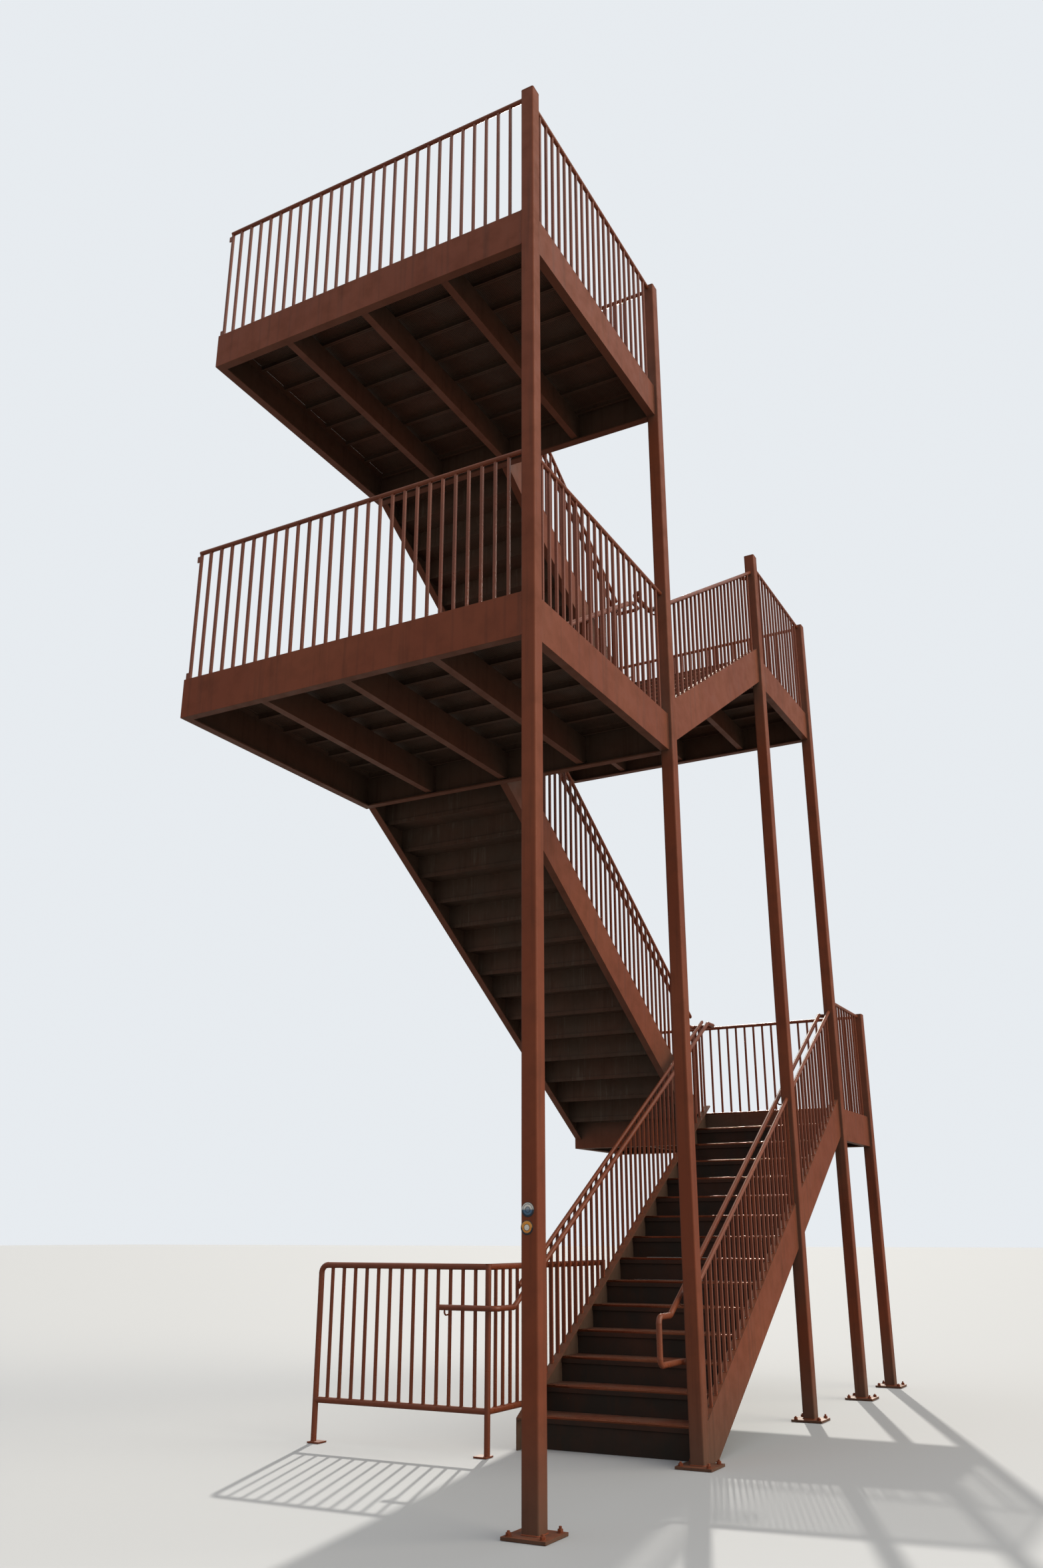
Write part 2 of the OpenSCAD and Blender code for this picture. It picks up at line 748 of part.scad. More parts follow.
module flight_2_handrails() {
    color(paint) flight_place(start_2, low_level, false)
        back_handrails(riser_2, lower_run, lower_foot, lower_brackets, true);
}
module flight_3_handrails() {
    low = hand_z(riser_3, -going);
    top = hand_z(riser_3, upper_run);
    color(paint) flight_place(start_3, level_2, true) {
        outer_handrail(riser_3, upper_run, turned_foot(riser_3), col_c - start_3, [col_b - start_3]);
        union() {
            tube([
                [-going - rail_joint, hand_inner_1, low],
                [-going, hand_inner_1, low],
                [upper_run, hand_inner_1, top],
                [upper_run + rail_joint, hand_inner_1, top]
            ], hand_dia, hand_bend);
            brackets(riser_3, upper_run, -upper_foot, upper_run, hand_inner_1,
                inner_1 - guard_in - bar_size / 2, upper_brackets);
        }
    }
}
module flight_4_handrails() {
    color(paint) flight_place(start_4, mid_level, false)
        back_handrails(riser_4, upper_run, upper_foot, upper_brackets, false);
}

// Ground guard that closes off the low space under the flights
end_hand_out = 75;
end_hand_bars = 3;
end_guard_y = inner_1 + end_pipe / 2;
under_end = start_1 + 5 * going;
module guard_post(x, y) {
    translate([x, y, 0]) cylinder(d = end_pipe, h = end_top);
    post_foot(x, y);
}
module post_foot(x, y) {
    translate([x - post_plate / 2, y - end_pipe / 2, 0]) cube([post_plate, post_plate, post_plate_thick]);
}
module end_guard() {
    wall_post = wall_face - end_pipe / 2;
    color(paint) union() {
        tube([
            [end_guard_x, end_guard_y, end_top - end_pipe / 2],
            [end_guard_x, wall_post, end_top - end_pipe / 2],
            [end_guard_x, wall_post, 0]
        ], end_pipe, end_bend);
        guard_post(end_guard_x, end_guard_y);
        translate([0, wall_post - post_plate + end_pipe, 0]) post_foot(end_guard_x, 0);
        translate([end_guard_x, 0, 0]) rotate([0, 0, 90])
            guard_bars(end_guard_y, wall_post, 0, end_low, end_top, 0, end_pipe);
        translate([end_guard_x, end_guard_y, end_low]) rotate([-90, 0, 0])
            cylinder(d = end_pipe, h = wall_post - end_guard_y);
    }
}
module under_stair_guard() {
    color(paint) union() {
        difference() {
            union() {
                guard(end_guard_x, under_end, end_guard_y, end_low, end_top, 0, end_pipe);
                translate([end_guard_x, end_guard_y, end_low]) rotate([0, 90, 0])
                    cylinder(d = end_pipe, h = under_end - end_guard_x);
            }
            translate([end_guard_x, end_guard_y, 0]) cylinder(d = end_pipe, h = end_top + lap);
        }
        guard_post(under_end, end_guard_y);
    }
}

column_a();
column_b();
column_c();
column_d();
column_e();
column_caps();
base_plates();
level_3_frame();
level_2_frame();
mid_frame();
low_frame();
level_3_deck();
level_2_deck();
mid_deck();
low_deck();
flight_1_stringers();
flight_2_stringers();
flight_3_stringers();
flight_4_stringers();
flight_1_steps();
flight_2_steps();
flight_3_steps();
flight_4_steps();
flight_1_outer_guard();
flight_1_inner_guard();
flight_2_inner_guard();
flight_3_outer_guard();
flight_3_inner_guard();
flight_4_inner_guard();
level_3_near_guard();
level_3_outer_guard();
level_3_far_guard();
level_2_near_guard();
level_2_outer_guard();
mid_outer_guard();
mid_far_guard();
low_outer_guard();
low_far_guard();
flight_1_handrails();
flight_2_handrails();
flight_3_handrails();
flight_4_handrails();
end_guard();
under_stair_guard();
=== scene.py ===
import bpy
import math
import random
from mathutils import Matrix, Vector


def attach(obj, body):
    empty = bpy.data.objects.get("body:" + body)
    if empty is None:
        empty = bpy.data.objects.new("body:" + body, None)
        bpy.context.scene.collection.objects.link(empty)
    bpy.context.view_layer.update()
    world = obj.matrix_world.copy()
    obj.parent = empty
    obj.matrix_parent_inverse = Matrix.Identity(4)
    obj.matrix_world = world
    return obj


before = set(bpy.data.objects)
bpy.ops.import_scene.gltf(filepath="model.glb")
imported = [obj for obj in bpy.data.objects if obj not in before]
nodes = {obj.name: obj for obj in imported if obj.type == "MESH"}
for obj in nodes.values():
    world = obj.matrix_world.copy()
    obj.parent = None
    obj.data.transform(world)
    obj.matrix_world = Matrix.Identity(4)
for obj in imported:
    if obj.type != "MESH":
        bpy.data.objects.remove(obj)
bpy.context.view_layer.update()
print("frame loaded with", len(nodes), "nodes")


# camera at the photo's viewing angle, low and close to the near column
view = {"place": (-6.256, -3.313, 1.395), "turn": 28.427, "tilt": 19.89, "lens": 43.25, "sensor": 36.0,
        "reach": 500}

camData = bpy.data.cameras.new("viewCamera")
camData.sensor_fit = "HORIZONTAL"
camData.sensor_width = view["sensor"]
camData.lens = view["lens"]
camData.clip_end = view["reach"]
cam = bpy.data.objects.new("viewCamera", camData)
bpy.context.scene.collection.objects.link(cam)
turn = math.radians(view["turn"])
tilt = math.radians(view["tilt"])
aim = Vector((math.cos(turn) * math.cos(tilt), math.sin(turn) * math.cos(tilt), math.sin(tilt)))
cam.rotation_euler = aim.to_track_quat("-Z", "Y").to_euler()
cam.location = view["place"]
bpy.context.scene.camera = cam
print("camera set")


# where the solids stand, in metres: columns along X, landings from one column to another at a level,
# flights from their first riser, with the ends of their treads along Y
columns = {"x": (0.0, 2.280, 4.783, 6.433, 7.583), "top": (9.472, 9.420, 7.947, 7.895, 3.685),
           "half": 0.051, "corner": 0.012}
landings = ((0, 1, 8.335), (0, 1, 5.250), (2, 3, 6.810), (3, 4, 2.600))
going = 0.280
outerTreads = (-0.006, 1.367)
wallTreads = (1.476, 2.849)
flights = {
    "flight_1": {"start": 2.467, "side": 1, "level": 0.038, "riser": 0.1708, "risers": 15,
                 "ends": outerTreads},
    "flight_2": {"start": 6.217, "side": -1, "level": 2.600, "riser": 0.176667, "risers": 15,
                 "ends": wallTreads},
    "flight_3": {"start": 2.497, "side": 1, "level": 5.250, "riser": 0.173333, "risers": 9,
                 "ends": outerTreads},
    "flight_4": {"start": 4.537, "side": -1, "level": 6.810, "riser": 0.169444, "risers": 9,
                 "ends": wallTreads},
}


# small helpers for node trees
def newMaterial(name):
    mat = bpy.data.materials.new(name)
    mat.use_nodes = True
    tree = mat.node_tree
    tree.nodes.clear()
    out = tree.nodes.new("ShaderNodeOutputMaterial")
    skin = tree.nodes.new("ShaderNodeBsdfPrincipled")
    tree.links.new(skin.outputs["BSDF"], out.inputs["Surface"])
    return mat, tree, skin


def addNode(tree, kind, inputs=None, **settings):
    node = tree.nodes.new(kind)
    for key, value in settings.items():
        setattr(node, key, value)
    for key, value in (inputs or {}).items():
        if isinstance(value, bpy.types.NodeSocket):
            tree.links.new(value, node.inputs[key])
        else:
            node.inputs[key].default_value = value
    return node


def maths(tree, operation, first, second=0.0, clamp=False):
    node = addNode(tree, "ShaderNodeMath", {0: first, 1: second}, operation=operation, use_clamp=clamp)
    return node.outputs[0]


def times(tree, first, second):
    return maths(tree, "MULTIPLY", first, second)


def ramp(tree, value, low, high, fromMin=0.0, fromMax=1.0):
    inputs = {"Value": value, "From Min": fromMin, "From Max": fromMax, "To Min": low, "To Max": high}
    return addNode(tree, "ShaderNodeMapRange", inputs, clamp=True).outputs["Result"]


def blendColour(tree, factor, first, second):
    # the mix node's colour sockets are 6 and 7, and its colour comes out of socket 2
    return addNode(tree, "ShaderNodeMix", {0: factor, 6: first, 7: second}, data_type="RGBA").outputs[2]


def splitUp(tree, vector):
    return addNode(tree, "ShaderNodeSeparateXYZ", {0: vector}).outputs


# patterns: noise with its scale or its stretch along X, Y and Z, the band of the noise through which
# the pattern rises, and how strong it gets
patterns = {
    "fade": {"scale": 0.9, "detail": 2.0, "band": (0.40, 0.68), "amount": 0.385},
    "patches": {"scale": 2.2, "detail": 4.0, "band": (0.35, 0.60)},
    "mottle": {"scale": 7.0, "detail": 4.0, "band": (0.45, 0.75), "amount": 0.26},
    "runs": {"stretch": (22.0, 22.0, 0.9), "detail": 3.0, "band": (0.53, 0.74), "amount": 0.36},
    "chalk": {"stretch": (46.0, 46.0, 2.2), "detail": 4.0, "rough": 0.6, "band": (0.52, 0.72)},
    "chalkAreas": {"scale": 4.0, "detail": 2.0, "band": (0.42, 0.62)},
    "dust": {"scale": 3.2, "detail": 5.0, "rough": 0.7, "band": (0.42, 0.70)},
    "chips": {"scale": 38.0, "detail": 5.0, "rough": 0.65, "band": (0.50, 0.60)},
    "deepChips": {"scale": 21.0, "detail": 6.0, "rough": 0.7, "band": (0.66, 0.70), "amount": 0.8},
    "pins": {"stretch": (85.0, 85.0, 34.0), "detail": 2.0, "rough": 0.5, "band": (0.755, 0.80),
             "amount": 0.8},
    "grain": {"scale": 60.0, "detail": 3.0},
    "fineGrain": {"scale": 260.0, "detail": 2.0},
    "scuffs": {"scale": 90.0, "detail": 4.0, "rough": 0.7, "band": (0.52, 0.70), "amount": 0.5},
}


def rawPattern(tree, where, name):
    values = patterns[name]
    if "stretch" in values:
        mapping = addNode(tree, "ShaderNodeMapping", {"Vector": where, "Scale": values["stretch"]})
        where = mapping.outputs["Vector"]
    inputs = {"Vector": where, "Scale": values.get("scale", 1.0), "Detail": values["detail"],
              "Roughness": values.get("rough", 0.55)}
    return addNode(tree, "ShaderNodeTexNoise", inputs).outputs["Fac"]


def pattern(tree, where, name):
    values = patterns[name]
    return ramp(tree, rawPattern(tree, where, name), 0.0, values.get("amount", 1.0), *values["band"])


# paint: red-brown oxide coat on steel, faded on top, streaked down the sides, worn along edges
# "bare" is the share of the dark sheet colour on undersides and risers, least and most
paintLook = {
    "coat": (0.192, 0.048, 0.022, 1),
    "faded": (0.262, 0.080, 0.038, 1),
    "grime": (0.055, 0.022, 0.013, 1),
    "sheet": (0.082, 0.060, 0.046, 1),
    "shelter": (0.105, 0.076, 0.057, 1),
    "rust": (0.120, 0.040, 0.014, 1),
    "orange": (0.300, 0.105, 0.030, 1),
    "dust": (0.150, 0.115, 0.092, 1),
    "drip": (0.180, 0.150, 0.120, 1),
    # painted shade: near-black colour put into the buttons' holes on top and their recesses seen from below
    "hollowShade": (0.012, 0.007, 0.006, 1),
    "bare": (0.60, 0.90),
    "rough": 0.46,
    "gloss": 0.20,
    "metal": 0.0,
}
# how strongly the shape steers the paint, and the bands of the normal's Z, of the openness to the sky
# around a point, of the edge mask and of the normal along a flight
shapeLook = {
    "up": (0.3, 0.95), "down": (-0.95, -0.30), "open": (0.45, 0.96), "edge": (0.86, 0.995),
    "back": (0.5, 0.9), "flat": 0.7, "front": -0.5, "openReach": 0.7, "samples": 4,
    "fadeOnTop": 0.40, "dullBelow": 0.40,
    "roughOnTop": 0.12, "roughSpread": (-0.07, 0.14), "roughBand": (0.3, 0.7),
}
bumpLook = {
    "grain": 0.9, "fineGrain": 0.55, "strength": 0.22, "depth": 0.0012,
    "buttonStrength": 0.9, "buttonDepth": 0.0022, "hollowShadeAmount": 0.82,
}
# raised buttons in the sheets: how far from a button's middle its dome, its hole and its recess below end;
# hole and recess are painted near-black as painted shade
button = {
    "spacing": 0.0143, "deckMargin": 0.020, "treadMargin": 0.006, "deckRows": 18, "treadRows": 18,
    "deckDrips": 0.0, "treadDrips": 0.6,
    "dome": (0.0022, 0.0046), "hole": (0.0014, 0.0020), "hollowShade": (0.0030, 0.0042),
}


def buttonPattern(tree, where, normalZ, field):
    # rows of small raised buttons in bands across the sheet, one band for each plank or tread
    place = splitUp(tree, where)
    pitch, spacing = field["pitch"], field["spacing"]
    across = times(tree, place["X"], field["side"] / pitch)
    across = maths(tree, "FRACT", maths(tree, "ADD", across, -field["side"] * field["start"] / pitch))
    across = times(tree, across, pitch / spacing)
    across = maths(tree, "SUBTRACT", across, field["margin"] / spacing)
    inside = times(tree, maths(tree, "GREATER_THAN", across, 0.0),
                   maths(tree, "LESS_THAN", across, float(field["rows"])))
    flat = maths(tree, "GREATER_THAN", maths(tree, "ABSOLUTE", normalZ), shapeLook["flat"])
    inside = times(tree, inside, flat)
    along = times(tree, place["Y"], 1 / spacing)
    across = maths(tree, "SUBTRACT", maths(tree, "FRACT", across), 0.5)
    along = maths(tree, "SUBTRACT", maths(tree, "FRACT", along), 0.5)
    square = maths(tree, "ADD", times(tree, across, across), times(tree, along, along))
    distance = times(tree, maths(tree, "SQRT", square), spacing)
    dome = times(tree, ramp(tree, distance, 1.0, 0.0, *button["dome"]), inside)
    hole = times(tree, ramp(tree, distance, 1.0, 0.0, *button["hole"]), inside)
    # seen from below a button is a recess, painted dark as painted shade; the hole on top is painted dark too
    below = maths(tree, "LESS_THAN", normalZ, 0.0)
    hollowShade = times(tree, ramp(tree, distance, 1.0, 0.0, *button["hollowShade"]), inside)
    hollowShade = times(tree, hollowShade, below)
    # painted shade for the holes and recesses
    dark = maths(tree, "MAXIMUM", hole, hollowShade)
    height = times(tree, dome, maths(tree, "SUBTRACT", 1.0, times(tree, below, 2.0)))
    return dark, height


def paintedShare(tree, where, normal, field):
    # folded sheets keep their paint on top and partly on the front lips
    covered = maths(tree, "GREATER_THAN", normal["Z"], shapeLook["flat"])
    if "riser" in field:
        climb = maths(tree, "SUBTRACT", splitUp(tree, where)["Z"], field["level"])
        climb = times(tree, maths(tree, "MAXIMUM", climb, 0.001), 1 / field["riser"])
        lip = maths(tree, "GREATER_THAN", maths(tree, "FRACT", climb), 1 - field["lip"] / field["riser"])
        lip = times(tree, lip, field["lipPaint"])
        front = maths(tree, "LESS_THAN", times(tree, normal["X"], field["side"]), shapeLook["front"])
        covered = maths(tree, "MAXIMUM", covered, times(tree, lip, front))
    return covered


def paintMaterial(name, look, edge=0.0030, wear=0.35, grit=0.0, shelter=0.0, field=None):
    mat, tree, skin = newMaterial(name)
    where = addNode(tree, "ShaderNodeTexCoord").outputs["Object"]
    facing = addNode(tree, "ShaderNodeNewGeometry").outputs["Normal"]
    normal = splitUp(tree, facing)
    upward = ramp(tree, normal["Z"], 0.0, 1.0, *shapeLook["up"])
    upright = maths(tree, "SUBTRACT", 1.0, maths(tree, "ABSOLUTE", normal["Z"]))

    # sun fade in broad patches, stronger on what faces up
    fade = maths(tree, "ADD", pattern(tree, where, "fade"),
                 times(tree, upward, shapeLook["fadeOnTop"]), clamp=True)
    colour = blendColour(tree, fade, look["coat"], look["faded"])
    # undersides and risers of folded sheets are dark in patches
    if field:
        patches = ramp(tree, rawPattern(tree, where, "patches"), *look["bare"], *patterns["patches"]["band"])
        bare = times(tree, maths(tree, "SUBTRACT", 1.0, paintedShare(tree, where, normal, field)), patches)
        colour = blendColour(tree, bare, colour, look["sheet"])
    # blends toward the shelter colour in occluded places and on faces that point down; for the lowest flight
    # that colour is dark, which is painted shade
    if shelter:
        openness = addNode(tree, "ShaderNodeAmbientOcclusion", {"Distance": shapeLook["openReach"]},
                           samples=shapeLook["samples"]).outputs["AO"]
        dull = maths(tree, "MAXIMUM", ramp(tree, openness, 1.0, 0.0, *shapeLook["open"]),
                     ramp(tree, normal["Z"], shapeLook["dullBelow"], 0.0, *shapeLook["down"]))
        colour = blendColour(tree, times(tree, dull, shelter), colour, look["shelter"])
    # mottling and water runs darken it
    colour = blendColour(tree, pattern(tree, where, "mottle"), colour, look["grime"])
    colour = blendColour(tree, times(tree, pattern(tree, where, "runs"), upright), colour, look["grime"])
    # chalky drips down the backs of the risers
    if field and field["drips"]:
        chalk = times(tree, pattern(tree, where, "chalk"), pattern(tree, where, "chalkAreas"))
        behind = ramp(tree, times(tree, normal["X"], field["side"]), 0.0, field["drips"], *shapeLook["back"])
        colour = blendColour(tree, times(tree, chalk, behind), colour, look["drip"])
    # grit settles on walked surfaces
    if grit:
        dust = times(tree, times(tree, pattern(tree, where, "dust"), grit), upward)
        colour = blendColour(tree, dust, colour, look["dust"])

    # edge mask: where a rounded normal leaves the flat one
    rounded = addNode(tree, "ShaderNodeBevel", {"Radius": edge},
                      samples=shapeLook["samples"]).outputs["Normal"]
    sharp = addNode(tree, "ShaderNodeVectorMath", {0: rounded, 1: facing},
                    operation="DOT_PRODUCT").outputs["Value"]
    rim = ramp(tree, sharp, 1.0, 0.0, *shapeLook["edge"])
    worn = times(tree, times(tree, rim, pattern(tree, where, "chips")), wear)
    colour = blendColour(tree, worn, colour, look["orange"])
    colour = blendColour(tree, times(tree, rim, pattern(tree, where, "deepChips")), colour, look["rust"])
    # few pinholes of rust anywhere
    colour = blendColour(tree, pattern(tree, where, "pins"), colour, look["rust"])

    height = maths(tree, "ADD", times(tree, rawPattern(tree, where, "fineGrain"), bumpLook["fineGrain"]),
                   times(tree, rawPattern(tree, where, "grain"), bumpLook["grain"]))
    inputs = {"Strength": bumpLook["strength"], "Distance": bumpLook["depth"], "Height": height,
              "Normal": rounded}
    bump = addNode(tree, "ShaderNodeBump", inputs).outputs["Normal"]
    if field:
        dark, dome = buttonPattern(tree, where, normal["Z"], field)
        # painted shade in the buttons' holes and recesses
        colour = blendColour(tree, times(tree, dark, bumpLook["hollowShadeAmount"]), colour, look["hollowShade"])
        inputs = {"Strength": bumpLook["buttonStrength"], "Distance": bumpLook["buttonDepth"], "Height": dome,
                  "Normal": bump}
        bump = addNode(tree, "ShaderNodeBump", inputs).outputs["Normal"]
    tree.links.new(colour, skin.inputs["Base Color"])
    tree.links.new(bump, skin.inputs["Normal"])

    rough = ramp(tree, rawPattern(tree, where, "mottle"), *shapeLook["roughSpread"], *shapeLook["roughBand"])
    rough = maths(tree, "ADD", rough, look["rough"])
    rough = maths(tree, "ADD", rough, times(tree, upward, shapeLook["roughOnTop"]), clamp=True)
    tree.links.new(rough, skin.inputs["Roughness"])
    skin.inputs["Specular IOR Level"].default_value = look["gloss"]
    skin.inputs["Metallic"].default_value = look["metal"]
    return mat


# sheets with bands of buttons: where the first band starts along X, which way they follow, and their pitch
fields = {
    "level_3_deck": {"start": 2.230, "side": -1, "pitch": 0.301},
    "level_2_deck": {"start": 2.230, "side": -1, "pitch": 0.301},
    "mid_deck": {"start": 6.383, "side": -1, "pitch": 0.301},
    "low_deck": {"start": 7.533, "side": -1, "pitch": 0.301},
}
# front lips of the steps: their height and how much paint they keep; on the lowest flight they keep little,
# so its lips take the dark sheet colour as painted shade
lipLook = {"height": 0.046, "paint": 0.62, "lowPaintForShade": 0.08}
# painted shade: much darker sheet and shelter colours and more bare sheet on the lowest flight, which stands
# under the landings
paintedShadeSheets = {"sheet": (0.024, 0.019, 0.016, 1), "shelter": (0.030, 0.024, 0.020, 1), "bare": (0.70, 1.00)}
sheetLook = {"rough": 0.55, "edge": 0.0015, "wear": 0.6, "grit": 0.5, "shelter": 0.65}
for flight, values in flights.items():
    fields[flight + "_steps"] = {
        "start": values["start"], "side": values["side"], "pitch": going, "level": values["level"],
        "riser": values["riser"], "lip": lipLook["height"],
        "lipPaint": lipLook["lowPaintForShade" if flight == "flight_1" else "paint"]}

framePaint = paintMaterial("framePaint", paintLook, shelter=0.95)
railPaint = paintMaterial("railPaint", dict(paintLook, rough=0.27, gloss=0.40), edge=0.0015, wear=0.5)
weldPaint = paintMaterial("weldPaint", dict(paintLook, rough=0.30), edge=0.0008, wear=0.3)
rubbedLook = dict(paintLook, coat=paintLook["faded"], rough=0.10, gloss=0.8, metal=0.75)
treadPaint = paintMaterial("treadPaint", rubbedLook, edge=0.0008, wear=0.5)
for name, node in nodes.items():
    if name in fields:
        kind = "deck" if "deck" in name else "tread"
        field = dict(fields[name], spacing=button["spacing"], margin=button[kind + "Margin"],
                     rows=button[kind + "Rows"], drips=button[kind + "Drips"])
        look = dict(paintLook, rough=sheetLook["rough"])
        # the lowest flight's steps take the painted-shade sheet colours
        if name == "flight_1_steps":
            look.update(paintedShadeSheets)
        paint = paintMaterial(name + "Paint", look, edge=sheetLook["edge"], wear=sheetLook["wear"],
                              grit=sheetLook["grit"], shelter=sheetLook["shelter"], field=field)
    elif "guard" in name or "handrails" in name:
        paint = railPaint
    else:
        paint = framePaint
    if not node.material_slots:
        node.data.materials.append(paint)
    for slot in node.material_slots:
        slot.material = paint
print("paint on", len(nodes), "nodes")


# gathers many small forms into one mesh
class Shape:
    def __init__(self, seed):
        self.points = []
        self.faces = []
        self.chance = random.Random(seed)

    def add(self, points, faces):
        first = len(self.points)
        self.points.extend(points)
        self.faces.extend([first + i for i in face] for face in faces)

    def lathe(self, place, profile, sides, phase=0.0, axis="Z"):
        # a profile of radius and height turned about an axis
        points = []
        for radius, height in profile:
            for k in range(sides):
                angle = phase + 2 * math.pi * k / sides
                x, y, z = radius * math.cos(angle), radius * math.sin(angle), height
                if axis == "-X":
                    x, y, z = -z, x, -y
                points.append((place[0] + x, place[1] + y, place[2] + z))
        faces = []
        for row in range(len(profile) - 1):
            for k in range(sides):
                n = (k + 1) % sides
                faces.append((row * sides + k, row * sides + n, (row + 1) * sides + n, (row + 1) * sides + k))
        faces.append(tuple(range(sides - 1, -1, -1)))
        faces.append(tuple((len(profile) - 1) * sides + k for k in range(sides)))
        self.add(points, faces)

    def bead(self, path, radius, closed=False, sides=6):
        # rippled weld bead along a path, with the values of beadLook
        count = len(path)
        points = []
        for i, place in enumerate(path):
            before = path[i - 1] if closed or i else path[0]
            after = path[(i + 1) % count] if closed or i < count - 1 else path[-1]
            direction = (Vector(after) - Vector(before)).normalized()
            side = direction.cross(beadLook["aside"]).normalized()
            up = direction.cross(side)
            ripple = beadLook["ripple"] if i % 2 else -beadLook["ripple"]
            size = radius * (1 + ripple + self.chance.uniform(-beadLook["uneven"], beadLook["uneven"]))
            for k in range(sides):
                angle = 2 * math.pi * k / sides
                points.append(tuple(Vector(place) + size * (math.cos(angle) * side + math.sin(angle) * up)))
        faces = []
        for i in range(count if closed else count - 1):
            j = (i + 1) % count
            for k in range(sides):
                n = (k + 1) % sides
                faces.append((i * sides + k, j * sides + k, j * sides + n, i * sides + n))
        if not closed:
            faces.append(tuple(range(sides)))
            faces.append(tuple((count - 1) * sides + k for k in range(sides - 1, -1, -1)))
        self.add(points, faces)

    def finish(self, name, material, smooth=35):
        mesh = bpy.data.meshes.new(name)
        mesh.from_pydata(self.points, [], self.faces)
        mesh.polygons.foreach_set("use_smooth", [True] * len(mesh.polygons))
        mesh.set_sharp_from_angle(angle=math.radians(smooth))
        mesh.materials.append(material)
        piece = bpy.data.objects.new(name, mesh)
        bpy.context.scene.collection.objects.link(piece)
        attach(piece, "root")
        mesh.calc_loop_triangles()
        print(name, len(mesh.loop_triangles), "triangles")


def between(first, last, step):
    # points along a straight line, about one step apart
    first, last = Vector(first), Vector(last)
    count = max(2, round((last - first).length / step) + 1)
    return [tuple(first.lerp(last, i / (count - 1))) for i in range(count)]


# anchor studs with washers and nuts at the corners of each base plate
# the outlines give radius and height over the plate
anchor = {
    "plateTop": 0.016, "reach": 0.095,
    "washer": ((0.0169, 0.0), (0.0175, 0.0005), (0.0175, 0.0025), (0.0168, 0.003)), "washerSides": 28,
    "nut": ((0.0138, 0.003), (0.0150, 0.004), (0.0150, 0.0156), (0.0132, 0.017)), "nutSides": 6,
    "studFoot": (0.00744, 0.015), "studTop": 0.030, "shorter": 0.008, "studSides": 12,
    "crest": 0.008, "root": 0.00736, "thread": 0.001, "tip": 0.006, "plainEnd": 0.0015, "chamfer": 0.0012,
}

anchors = Shape(3)
nutTop = anchor["nut"][-1][1]
for x in columns["x"]:
    for dx in (-anchor["reach"], anchor["reach"]):
        for dy in (-anchor["reach"], anchor["reach"]):
            place = (x + dx, dy, anchor["plateTop"])
            anchors.lathe(place, anchor["washer"], anchor["washerSides"])
            anchors.lathe(place, anchor["nut"], anchor["nutSides"], anchors.chance.uniform(0, 1))
            top = anchor["studTop"] - anchors.chance.uniform(0, anchor["shorter"])
            profile = [anchor["studFoot"]]
            for i in range(int((top - anchor["plainEnd"] - nutTop) / anchor["thread"])):
                profile.append((anchor["crest" if i % 2 else "root"], nutTop + i * anchor["thread"]))
            profile += [(anchor["root"], top - anchor["chamfer"]), (anchor["tip"], top)]
            anchors.lathe(place, profile, anchor["studSides"])
anchors.finish("anchorBolts", weldPaint)


# weld beads at column feet and caps, and where channels, stringers and rails meet the columns
beadLook = {
    "large": 0.0050, "small": 0.0022, "cap": 0.00154, "step": 0.0038, "cornerParts": 4, "pipeParts": 14,
    "footRise": 0.001, "footGrow": 0.001, "capDrop": 0.006, "capGrow": -0.0004,
    "ripple": 0.16, "uneven": 0.08, "aside": Vector((0.31, 0.52, 0.79)),
}
channel = {"depth": 0.305, "web": -0.017, "nearEnd": -0.046, "farEnd": 0.017}
# where stringers end against a column: along X, low and high
stringerEnds = ((2.331, 0.002, 0.204), (6.382, 2.318, 2.675), (2.331, 5.040, 5.398), (4.732, 6.526, 6.885))
guardLook = {
    "pitch": 0.106, "halfBar": 0.0099, "foot": 0.0042, "head": 0.0030, "top": 1.075, "slopeTop": 0.957,
    "railRadius": 0.017, "railLoop": 0.0172, "under": 0.0145, "overStringer": 0.078, "overChannel": 0.0005,
    "headGrow": -0.0005, "parts": 3, "sides": 5, "outerLine": 0.003, "innerLine": 1.358, "wallLine": 1.485,
}
# guards that run along Y: where along X, how far, and the landing's level
crossGuards = ((-0.026, 2.842, 8.335), (-0.026, 2.842, 5.250), (6.430, 2.842, 6.810), (7.580, 2.842, 2.600),
               (2.277, 1.445, 8.335))


def columnLoop(x, z, grow):
    # rounded square round a column
    half = columns["half"] + grow
    corner = columns["corner"] + grow
    path = []
    for sx, sy, start in ((1, 1, 0), (-1, 1, 90), (-1, -1, 180), (1, -1, 270)):
        centre = Vector((x + sx * (half - corner), sy * (half - corner), z))
        for i in range(beadLook["cornerParts"] + 1):
            angle = math.radians(start + 90 * i / beadLook["cornerParts"])
            path.append(tuple(centre + corner * Vector((math.cos(angle), math.sin(angle), 0))))
    full = []
    for i, point in enumerate(path):
        full.extend(between(point, path[(i + 1) % len(path)], beadLook["step"])[:-1])
    return full


def pipeLoop(place, axis):
    # circle round a rail that runs along the axis given
    path = []
    for i in range(beadLook["pipeParts"]):
        angle = 2 * math.pi * i / beadLook["pipeParts"]
        a, b = guardLook["railLoop"] * math.cos(angle), guardLook["railLoop"] * math.sin(angle)
        offset = (0, a, b) if axis == "X" else (a, 0, b)
        path.append(tuple(place[k] + offset[k] for k in range(3)))
    return path


welds = Shape(7)


def standingBead(x, y, low, high):
    welds.bead(between((x, y, low), (x, y, high), beadLook["step"]), beadLook["large"])


